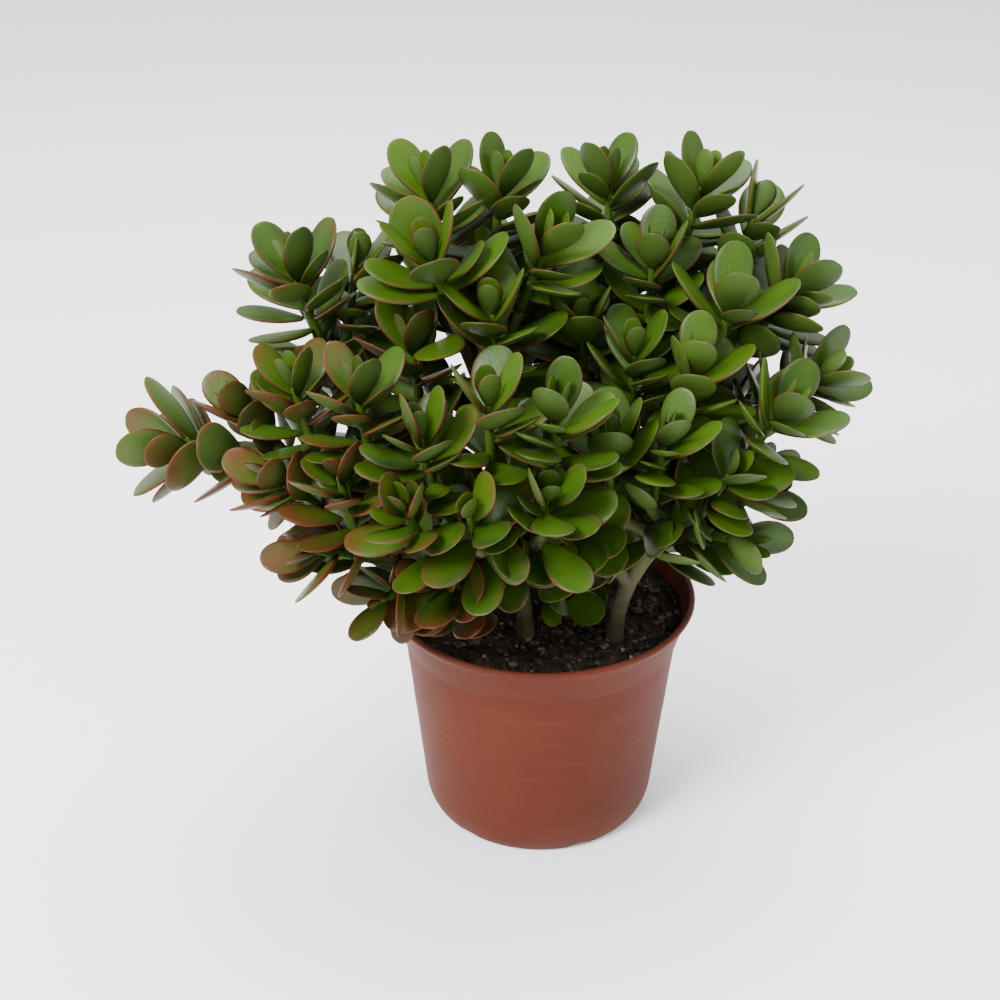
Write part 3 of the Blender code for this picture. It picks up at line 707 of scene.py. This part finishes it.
def fill_out(garden, twigs, shoots, grown):
    """Extra leaves between the pairs and along the twigs, wherever there is room."""
    paths = {name: path for name, _, path, _ in twigs}
    for name, axis, up_side, base, tip, turn, pairs, length in shoots:
        spots = []
        for index, (pair, next_pair) in enumerate(zip(pairs, pairs[1:])):
            below = 0.5 * (pair[2] + next_pair[2])
            angle = 0.5 * (pair[1] + next_pair[1])
            around = turn + 45 + 90 * index
            spots.append((tip - axis * below, axis, around, angle, length * 0.85 * pair[0]))
        for index in range(FILL_STEPS):
            spot = back_along(paths[name], FILL_START + FILL_SPACING * index)
            if spot:
                spots.append((*spot, turn + 90 * index + 30, 58.0, length * 0.95))
        for place, ahead, around, angle, size in spots:
            across = (up_side - ahead * up_side.dot(ahead)).normalized()
            for half in (0, 180):
                leaf = garden.squeeze_in(place, ahead, across, around + half, angle, size)
                if leaf:
                    grown[name].append(leaf)


# ---------------------------------------------------------------- pieces
def rounded(centre, radius, start, end, count):
    """Points on an arc in the (radius, height) plane, angles in degrees."""
    points = []
    for i in range(count + 1):
        angle = math.radians(start + (end - start) * i / count)
        points.append((centre[0] + radius * math.cos(angle), centre[1] + radius * math.sin(angle)))
    return points


def between(start, end, count):
    """Evenly spaced points from start up to, but without, the end."""
    return [(start[0] + (end[0] - start[0]) * i / count, start[1] + (end[1] - start[1]) * i / count)
            for i in range(count)]


def inner_radius(height):
    """Radius of the pot's inner wall at a height between the floor and the lip."""
    if height > BODY_TOP_HEIGHT:
        share = (height - BODY_TOP_HEIGHT) / (RIM_HEIGHT - BODY_TOP_HEIGHT)
        return BODY_TOP_RADIUS - WALL + share * (RIM_RADIUS - BODY_TOP_RADIUS)
    share = (height - BODY_FOOT_HEIGHT) / (BODY_TOP_HEIGHT - BODY_FOOT_HEIGHT)
    return BODY_FOOT_RADIUS - WALL + share * (BODY_TOP_RADIUS - BODY_FOOT_RADIUS)


def moulding_lines(radius, height):
    """The body's faint moulded rings, two thirds of the way up."""
    for ring in MOULDED_RINGS:
        away = (height - ring) / MOULDED_RING_WIDTH
        radius += MOULDED_RING_RISE * math.exp(-away * away)
    return radius


def pot_profile():
    """Outline of the whole wall, from the floor's middle over the lip to the foot's middle."""
    floor_top = FLOOR_HEIGHT + WALL
    inner_foot = inner_radius(BODY_FOOT_HEIGHT)
    inside = ((0.0, floor_top), (inner_foot - 4.0 * MM, floor_top), (inner_foot, BODY_FOOT_HEIGHT),
              (inner_radius(BODY_TOP_HEIGHT), BODY_TOP_HEIGHT),
              (RIM_RADIUS - 2 * LIP_RADIUS, RIM_HEIGHT - LIP_RADIUS))
    points = []
    for start, end, count in zip(inside, inside[1:], (6, 3, 6, 6)):
        points += between(start, end, count)
    points += rounded((RIM_RADIUS - LIP_RADIUS, RIM_HEIGHT - LIP_RADIUS), LIP_RADIUS, 180.0, -30.0, 12)
    points += [(RIM_RADIUS - 1.5 * MM, RIM_HEIGHT - 4.2 * MM),
               (RIM_RADIUS - 2.8 * MM, RIM_HEIGHT - 6.0 * MM)]
    points += between((RIM_RADIUS - 3.6 * MM, RIM_HEIGHT - 8.0 * MM),
                      (BODY_TOP_RADIUS + 1.6 * MM, BODY_TOP_HEIGHT + 3.0 * MM), 4)
    points += [(BODY_TOP_RADIUS + 1.6 * MM, BODY_TOP_HEIGHT + 3.0 * MM),
               (BODY_TOP_RADIUS + 1.3 * MM, BODY_TOP_HEIGHT + 1.4 * MM),
               (BODY_TOP_RADIUS + 0.4 * MM, BODY_TOP_HEIGHT + 0.5 * MM)]
    body = between((BODY_TOP_RADIUS, BODY_TOP_HEIGHT), (BODY_FOOT_RADIUS, BODY_FOOT_HEIGHT), 96)
    points += [(moulding_lines(radius, height), height) for radius, height in body]
    points += [(BODY_FOOT_RADIUS, BODY_FOOT_HEIGHT), (BODY_FOOT_RADIUS - 0.6 * MM, 9.0 * MM),
               (BODY_FOOT_RADIUS - 1.6 * MM, 5.4 * MM), (BODY_FOOT_RADIUS - 3.0 * MM, 2.4 * MM),
               (FOOT_RADIUS + 1.0 * MM, 0.6 * MM), (FOOT_RADIUS, 0.0), (FOOT_RADIUS - 2.2 * MM, 0.0),
               (FOOT_RADIUS - 2.6 * MM, 0.8 * MM), (FOOT_RADIUS - 2.8 * MM, FLOOR_HEIGHT),
               (CENTRE_FOOT_RADIUS + 1.0 * MM, FLOOR_HEIGHT), (CENTRE_FOOT_RADIUS + 0.3 * MM, 0.8 * MM),
               (CENTRE_FOOT_RADIUS - 0.5 * MM, 0.0), (0.0, 0.0)]
    return points


def turned(bm, profile, steps):
    """Spin a profile once around Z, closed at both ends on the axis."""
    verts = [bm.verts.new((radius, 0.0, height)) for radius, height in profile]
    edges = [bm.edges.new(pair) for pair in zip(verts, verts[1:])]
    bmesh.ops.spin(bm, geom=verts + edges, cent=(0, 0, 0), axis=(0, 0, 1), angle=2 * math.pi, steps=steps,
                   use_merge=True)
    bmesh.ops.remove_doubles(bm, verts=bm.verts, dist=1e-6)
    bmesh.ops.recalc_face_normals(bm, faces=bm.faces)


def cutter(radius, depth, matrix, segments):
    """A cylinder to cut with."""
    bm = bmesh.new()
    bmesh.ops.create_cone(bm, cap_ends=True, segments=segments, radius1=radius, radius2=radius, depth=depth)
    bmesh.ops.transform(bm, matrix=matrix, verts=bm.verts)
    mesh = bpy.data.meshes.new("cutter")
    bm.to_mesh(mesh)
    bm.free()
    made = bpy.data.objects.new("cutter", mesh)
    bpy.context.scene.collection.objects.link(made)
    return made


def cut_with(piece, cutters):
    """Cut the piece with each cutter, keep the result and drop the cutters."""
    for tool in cutters:
        step = piece.modifiers.new("cut", "BOOLEAN")
        step.operation = "DIFFERENCE"
        step.solver = "EXACT"
        step.object = tool
    depsgraph = bpy.context.evaluated_depsgraph_get()
    result = bpy.data.meshes.new_from_object(piece.evaluated_get(depsgraph), depsgraph=depsgraph)
    piece.modifiers.clear()
    piece.data = result
    for tool in cutters:
        bpy.data.objects.remove(tool)


class JADE_OT_pot(bpy.types.Operator):
    """Turn the pot, cut its drain holes and notches, and give it its plastic"""
    bl_idname = "jade.pot"
    bl_label = "Pot"

    def execute(self, context):
        settings = context.scene.jade_pot
        bm = bmesh.new()
        turned(bm, pot_profile(), settings.sides)
        pot = piece_from(bm, "nursery_pot", pot_material(settings), ("pot",))
        cutters = []
        for index in range(NOTCH_COUNT):
            spin = Matrix.Rotation(math.radians(NOTCH_FIRST_ANGLE + index * 360.0 / NOTCH_COUNT), 4, "Z")
            squash = Matrix.Diagonal((1.0, 1.0, 2 * NOTCH_HEIGHT / NOTCH_WIDTH, 1.0))
            lay = squash @ Matrix.Rotation(math.radians(90), 4, "Y")
            notch = spin @ Matrix.Translation((FOOT_RADIUS, 0.0, 0.0)) @ lay
            hole = spin @ Matrix.Translation((DRAIN_HOLE_RING, 0.0, FLOOR_HEIGHT))
            cutters.append(cutter(NOTCH_WIDTH / 2, NOTCH_DEPTH, notch, 32))
            cutters.append(cutter(DRAIN_HOLE_RADIUS, 2 * FLOOR_HEIGHT, hole, 24))
        cut_with(pot, cutters)
        pot.data.set_sharp_from_angle(angle=SHARP_ANGLE)
        return {"FINISHED"}


class JADE_OT_soil(bpy.types.Operator):
    """Fill the pot with crumbly potting mix"""
    bl_idname = "jade.soil"
    bl_label = "Soil"

    def execute(self, context):
        settings = context.scene.jade_pot
        mat = soil_material(settings)
        top = inner_radius(SOIL_HEIGHT - SOIL_EDGE) - GAP
        bottom = FLOOR_HEIGHT + WALL + GAP
        edge = (top, SOIL_HEIGHT - SOIL_EDGE)
        shoulder = (inner_radius(BODY_TOP_HEIGHT) - GAP, BODY_TOP_HEIGHT)
        profile = between((0.0, SOIL_HEIGHT + SOIL_DOME), edge, SOIL_RINGS)
        profile += between(edge, shoulder, 3)
        profile += [shoulder, (inner_radius(BODY_FOOT_HEIGHT) - GAP, BODY_FOOT_HEIGHT),
                    (inner_radius(BODY_FOOT_HEIGHT) - 4.4 * MM, bottom), (0.0, bottom)]
        bm = bmesh.new()
        turned(bm, profile, SOIL_SPOKES)
        tone = bm.verts.layers.float.new("tone")
        for vert in bm.verts:
            radius = math.hypot(vert.co.x, vert.co.y)
            if vert.co.z > SOIL_HEIGHT - 5 * MM and radius < top - 0.5 * MM:
                lumps = noise.noise(vert.co * LUMP_SCALE) * LUMP_HEIGHT
                vert.co.z += lumps + noise.noise(vert.co * GRAIN_SCALE) * GRAIN_HEIGHT
                vert[tone] = 0.25 + 0.25 * noise.noise(vert.co * 120.0)
        piece_from(bm, "potting_soil", mat, ("soil",))
        self.scatter(settings, mat, top)
        return {"FINISHED"}

    def scatter(self, settings, mat, top):
        """Loose crumbs, bark chips and a few pale grains on the surface."""
        rng = random.Random(CRUMB_SEED)
        bm = bmesh.new()
        tone = bm.verts.layers.float.new("tone")
        for _ in range(settings.crumbs):
            angle = rng.uniform(0.0, 2 * math.pi)
            radius = (top - CRUMB_MARGIN) * math.sqrt(rng.random())
            size = rng.uniform(*CRUMB_RADIUS)
            stretch = (rng.uniform(0.7, 1.8), rng.uniform(0.7, 1.2), rng.uniform(0.4, 0.9))
            height = SOIL_HEIGHT + SOIL_DOME * (1.0 - radius / top) + rng.uniform(-0.2, 0.9) * MM
            place = Matrix.Translation((radius * math.cos(angle), radius * math.sin(angle), height))
            turn = Matrix.Rotation(rng.uniform(0, 6.28), 4, "Z")
            turn = turn @ Matrix.Rotation(rng.uniform(-0.5, 0.5), 4, "X")
            grow = Matrix.Diagonal((size * stretch[0], size * stretch[1], size * stretch[2], 1.0))
            shade = rng.random()
            made = bmesh.ops.create_icosphere(bm, subdivisions=1, radius=1.0, matrix=place @ turn @ grow)
            for vert in made["verts"]:
                dent = Vector((rng.uniform(-1, 1), rng.uniform(-1, 1), rng.uniform(-1, 1)))
                vert.co += dent * size * 0.22
                vert[tone] = shade
        piece_from(bm, "soil_crumbs", mat)


class JADE_OT_stems(bpy.types.Operator):
    """Grow the woody stems with their forks and leaf scars"""
    bl_idname = "jade.stems"
    bl_label = "Woody stems"

    def execute(self, context):
        mat = bark_material(context.scene.jade_plant)
        twigs, _, _ = lay_out()
        for name, (trunk, radius) in STEMS.items():
            bm = bmesh.new()
            layers = (bm.verts.layers.float.new("rings"), bm.verts.layers.float.new("young"))
            foot = trunk_point(trunk, 0.0)
            shares = [i / TRUNK_STEPS for i in range(TRUNK_STEPS + 1)]
            path = [Vector((foot.x, foot.y, SOIL_HEIGHT - 8 * MM))]
            path += [trunk_point(trunk, share) for share in shares]
            width = [radius * MM * FOOT_FLARE]
            width += [radius * MM * (1.0 - TRUNK_TAPER * share) for share in shares]
            self.limb(bm, layers, path, width, TRUNK_SIDES, 0.0)
            for _, owner, coarse, radii in twigs:
                if owner == name:
                    self.twig(bm, layers, coarse, radii)
            stem = piece_from(bm, name + "_bark", mat, (name,))
            subdivide(stem)
        return {"FINISHED"}

    def twig(self, bm, layers, coarse, radii):
        """The same twig as its solid, along a smooth line through its points."""
        path = []
        width = []
        for i in range(len(coarse) - 1):
            before = coarse[max(i - 1, 0)]
            after = coarse[min(i + 2, len(coarse) - 1)]
            for k in range(TWIG_STEPS):
                t = k / TWIG_STEPS
                path.append(spline(before, coarse[i], coarse[i + 1], after, t))
                width.append(radii[i] * (1 - t) + radii[i + 1] * t)
        path.append(coarse[-1] + (coarse[-1] - coarse[-2]).normalized() * GAP)
        width.append(radii[-1])
        self.limb(bm, layers, path, width, TWIG_SIDES, 0.45)

    def limb(self, bm, layers, path, width, sides, young):
        """A tube with low rings where leaves once stood."""
        rings, age = layers
        run = 0.0
        scars = []
        radii = []
        for i, point in enumerate(path):
            if i:
                run += (point - path[i - 1]).length
            away = (run + SCAR_START) % SCAR_SPACING - SCAR_SPACING / 2
            scar = math.exp(-(away / SCAR_WIDTH) ** 2)
            scars.append(scar)
            radii.append(width[i] * (1.0 + SCAR_RISE * scar))
        for i, ring in enumerate(tube(bm, path, radii, sides)):
            for vert in ring:
                if vert.is_valid:
                    vert[rings] = scars[i]
                    vert[age] = young + (1.0 - young) * i / len(path)


class JADE_OT_shoots(bpy.types.Operator):
    """Grow the green shoots with their pairs of thick leaves"""
    bl_idname = "jade.shoots"
    bl_label = "Leafy shoots"

    def execute(self, context):
        plant = context.scene.jade_plant
        mat = leaf_material(plant)
        _, shoots, grown = lay_out()
        for shoot in shoots:
            name = shoot[0]
            rng = random.Random(name)
            bm = bmesh.new()
            layers = {layer: bm.verts.layers.float.new(layer) for layer in LEAF_LAYERS}
            self.green(bm, layers, shoot)
            mood = self.mood(shoot, rng)
            for leaf in grown[name] + self.bud(shoot):
                self.leaf(bm, layers, leaf, mood, plant.vary, rng)
            piece = piece_from(bm, name + "_leaves", mat, (name,))
            subdivide(piece)
        return {"FINISHED"}

    def mood(self, shoot, rng):
        """How bright and how reddish a shoot is: high ones are painted brighter as painted light from
        above, low left ones the reddest.
        """
        tip = shoot[4]
        low = 1.0 - min(1.0, max(0.0, (tip.z - 0.21) / 0.10))
        left = min(1.0, max(0.0, (0.03 - tip.x) / 0.12))
        reddish = 0.18 + 0.62 * low * left + 0.25 * left + rng.uniform(-0.1, 0.12)
        # Painted light: the higher the shoot's tip, the lighter its green, standing in for light falling on
        # the top of the plant.
        light = min(1.0, max(0.0, (tip.z - 0.20) / 0.16))
        return 0.30 + 0.35 * light + rng.uniform(-0.12, 0.12), reddish

    def green(self, bm, layers, shoot):
        """The green stem of a shoot."""
        _, axis, _, base, tip, _, _, _ = shoot
        shares = [i / SHOOT_STEPS for i in range(SHOOT_STEPS + 1)]
        path = [base.lerp(tip, share) for share in shares]
        path[0] -= axis * GAP
        radii = [SHOOT_BASE_RADIUS + (SHOOT_TIP_RADIUS - SHOOT_BASE_RADIUS) * share for share in shares]
        for ring in tube(bm, path, radii, SHOOT_SIDES):
            for vert in ring:
                if vert.is_valid:
                    vert[layers["along"]] = 0.3
                    vert[layers["tone"]] = 0.55
                    vert[layers["blush"]] = 0.25
                    vert[layers["under"]] = 0.4

    def bud(self, shoot):
        """The folded pair of tiny leaves at the tip."""
        _, axis, up_side, _, tip, turn, _, length = shoot
        return [make_leaf(tip - axis * MM, axis, up_side, turn + 90 + half, BUD_ANGLE, length * BUD_SIZE)
                for half in (0, 180)]

    def leaf(self, bm, layers, leaf, mood, vary, rng):
        """One thick leaf, with what its colours need to know stored on its points."""
        made = bmesh.ops.create_uvsphere(bm, u_segments=LEAF_AROUND, v_segments=LEAF_ALONG, radius=1.0)
        verts = made["verts"]
        ball = [vert.co.copy() for vert in verts]
        wide = 1.0 + rng.uniform(-vary, vary)
        tone = mood[0] + rng.uniform(-0.30, 0.30)
        blush = min(1.0, max(0.0, mood[1] + rng.uniform(-0.22, 0.22)))
        places = leaf_points(ball, leaf)
        base, out, lift, length = leaf
        for vert, co, place in zip(verts, ball, places):
            along = 0.5 * (1.0 - co.z)
            ring = math.sqrt(max(1e-12, 1.0 - co.z * co.z))
            across = abs(co.x) / ring if ring > 1e-4 else 0.0
            spine = base + out * (length * along)
            side = lift.cross(out)
            off = (place - spine).dot(side)
            vert.co = place + side * (off * (wide - 1.0))
            edge = across if along < 0.97 else 1.0
            vert[layers["margin"]] = edge
            vert[layers["under"]] = 0.5 - 0.5 * (co.y / ring if ring > 1e-4 else 0.0)
            vert[layers["along"]] = along
            vert[layers["tone"]] = tone
            vert[layers["blush"]] = blush


class JADE_OT_stage(bpy.types.Operator):
    """Lay the floor and set the soft lights and the camera"""
    bl_idname = "jade.stage"
    bl_label = "Stage"

    def execute(self, context):
        stage = context.scene.jade_stage
        self.floor(stage)
        self.world(context, stage)
        self.light("key", (-1.1, -1.2, 1.7), 0.9, stage.key_power)
        self.light("fill", (1.5, -1.0, 1.1), 1.6, stage.fill_power)
        self.light("top", (0.1, 0.5, 2.0), 1.4, stage.top_power)
        self.camera(context, stage)
        return {"FINISHED"}

    def floor(self, stage):
        bm = bmesh.new()
        bmesh.ops.create_grid(bm, x_segments=1, y_segments=1, size=stage.floor_size / 2)
        mesh = bpy.data.meshes.new("floor")
        bm.to_mesh(mesh)
        bm.free()
        floor = bpy.data.objects.new("floor", mesh)
        bpy.context.scene.collection.objects.link(floor)
        graph = Graph("pale_floor", Base_Color=(0.93, 0.93, 0.93, 1.0), Roughness=0.9)
        mesh.materials.append(graph.material)

    def world(self, context, stage):
        world = bpy.data.worlds.new("studio")
        world.use_nodes = True
        background = world.node_tree.nodes["Background"]
        background.inputs["Color"].default_value = (1.0, 1.0, 1.0, 1.0)
        background.inputs["Strength"].default_value = stage.surround
        context.scene.world = world

    def light(self, name, place, size, power):
        data = bpy.data.lights.new(name, "AREA")
        data.shape = "DISK"
        data.size = size
        data.energy = power
        lamp = bpy.data.objects.new(name, data)
        bpy.context.scene.collection.objects.link(lamp)
        lamp.location = place
        lamp.rotation_euler = (AIM - Vector(place)).to_track_quat("-Z", "Y").to_euler()

    def camera(self, context, stage):
        data = bpy.data.cameras.new("camera")
        data.lens = stage.lens
        data.sensor_width = SENSOR_WIDTH
        data.shift_x, data.shift_y = CAMERA_SHIFT
        data.clip_start = 0.01
        camera = bpy.data.objects.new("camera", data)
        context.scene.collection.objects.link(camera)
        back = Vector((0.0, -math.cos(stage.elevation), math.sin(stage.elevation)))
        tilt = Matrix.Rotation(math.radians(90) - stage.elevation, 4, "X")
        roll = Matrix.Rotation(stage.roll, 4, "Z")
        camera.matrix_world = Matrix.Translation(AIM + back * stage.distance) @ tilt @ roll
        context.scene.camera = camera


class JADE_PT_panel(bpy.types.Panel):
    """Steps that model the plant"""
    bl_idname = "JADE_PT_panel"
    bl_label = "Jade plant"
    bl_space_type = "VIEW_3D"
    bl_region_type = "UI"
    bl_category = "Jade plant"

    def draw(self, context):
        for group in (context.scene.jade_pot, context.scene.jade_plant, context.scene.jade_stage):
            box = self.layout.box()
            for key in group.__annotations__:
                box.prop(group, key)
        for operator in OPERATORS:
            self.layout.operator(operator.bl_idname)


OPERATORS = (JADE_OT_pot, JADE_OT_soil, JADE_OT_stems, JADE_OT_shoots, JADE_OT_stage)
SETTINGS = {"jade_pot": JadePotSettings, "jade_plant": JadePlantSettings, "jade_stage": JadeStageSettings}


def register():
    for made in (*SETTINGS.values(), *OPERATORS, JADE_PT_panel):
        bpy.utils.register_class(made)
    for name, group in SETTINGS.items():
        setattr(bpy.types.Scene, name, PointerProperty(type=group))


def unregister():
    for name in SETTINGS:
        delattr(bpy.types.Scene, name)
    for made in (JADE_PT_panel, *reversed(OPERATORS), *SETTINGS.values()):
        bpy.utils.unregister_class(made)


def main():
    register()
    bpy.ops.jade.pot()
    bpy.ops.jade.soil()
    bpy.ops.jade.stems()
    bpy.ops.jade.shoots()
    bpy.ops.jade.stage()


if __name__ == "__main__":
    main()
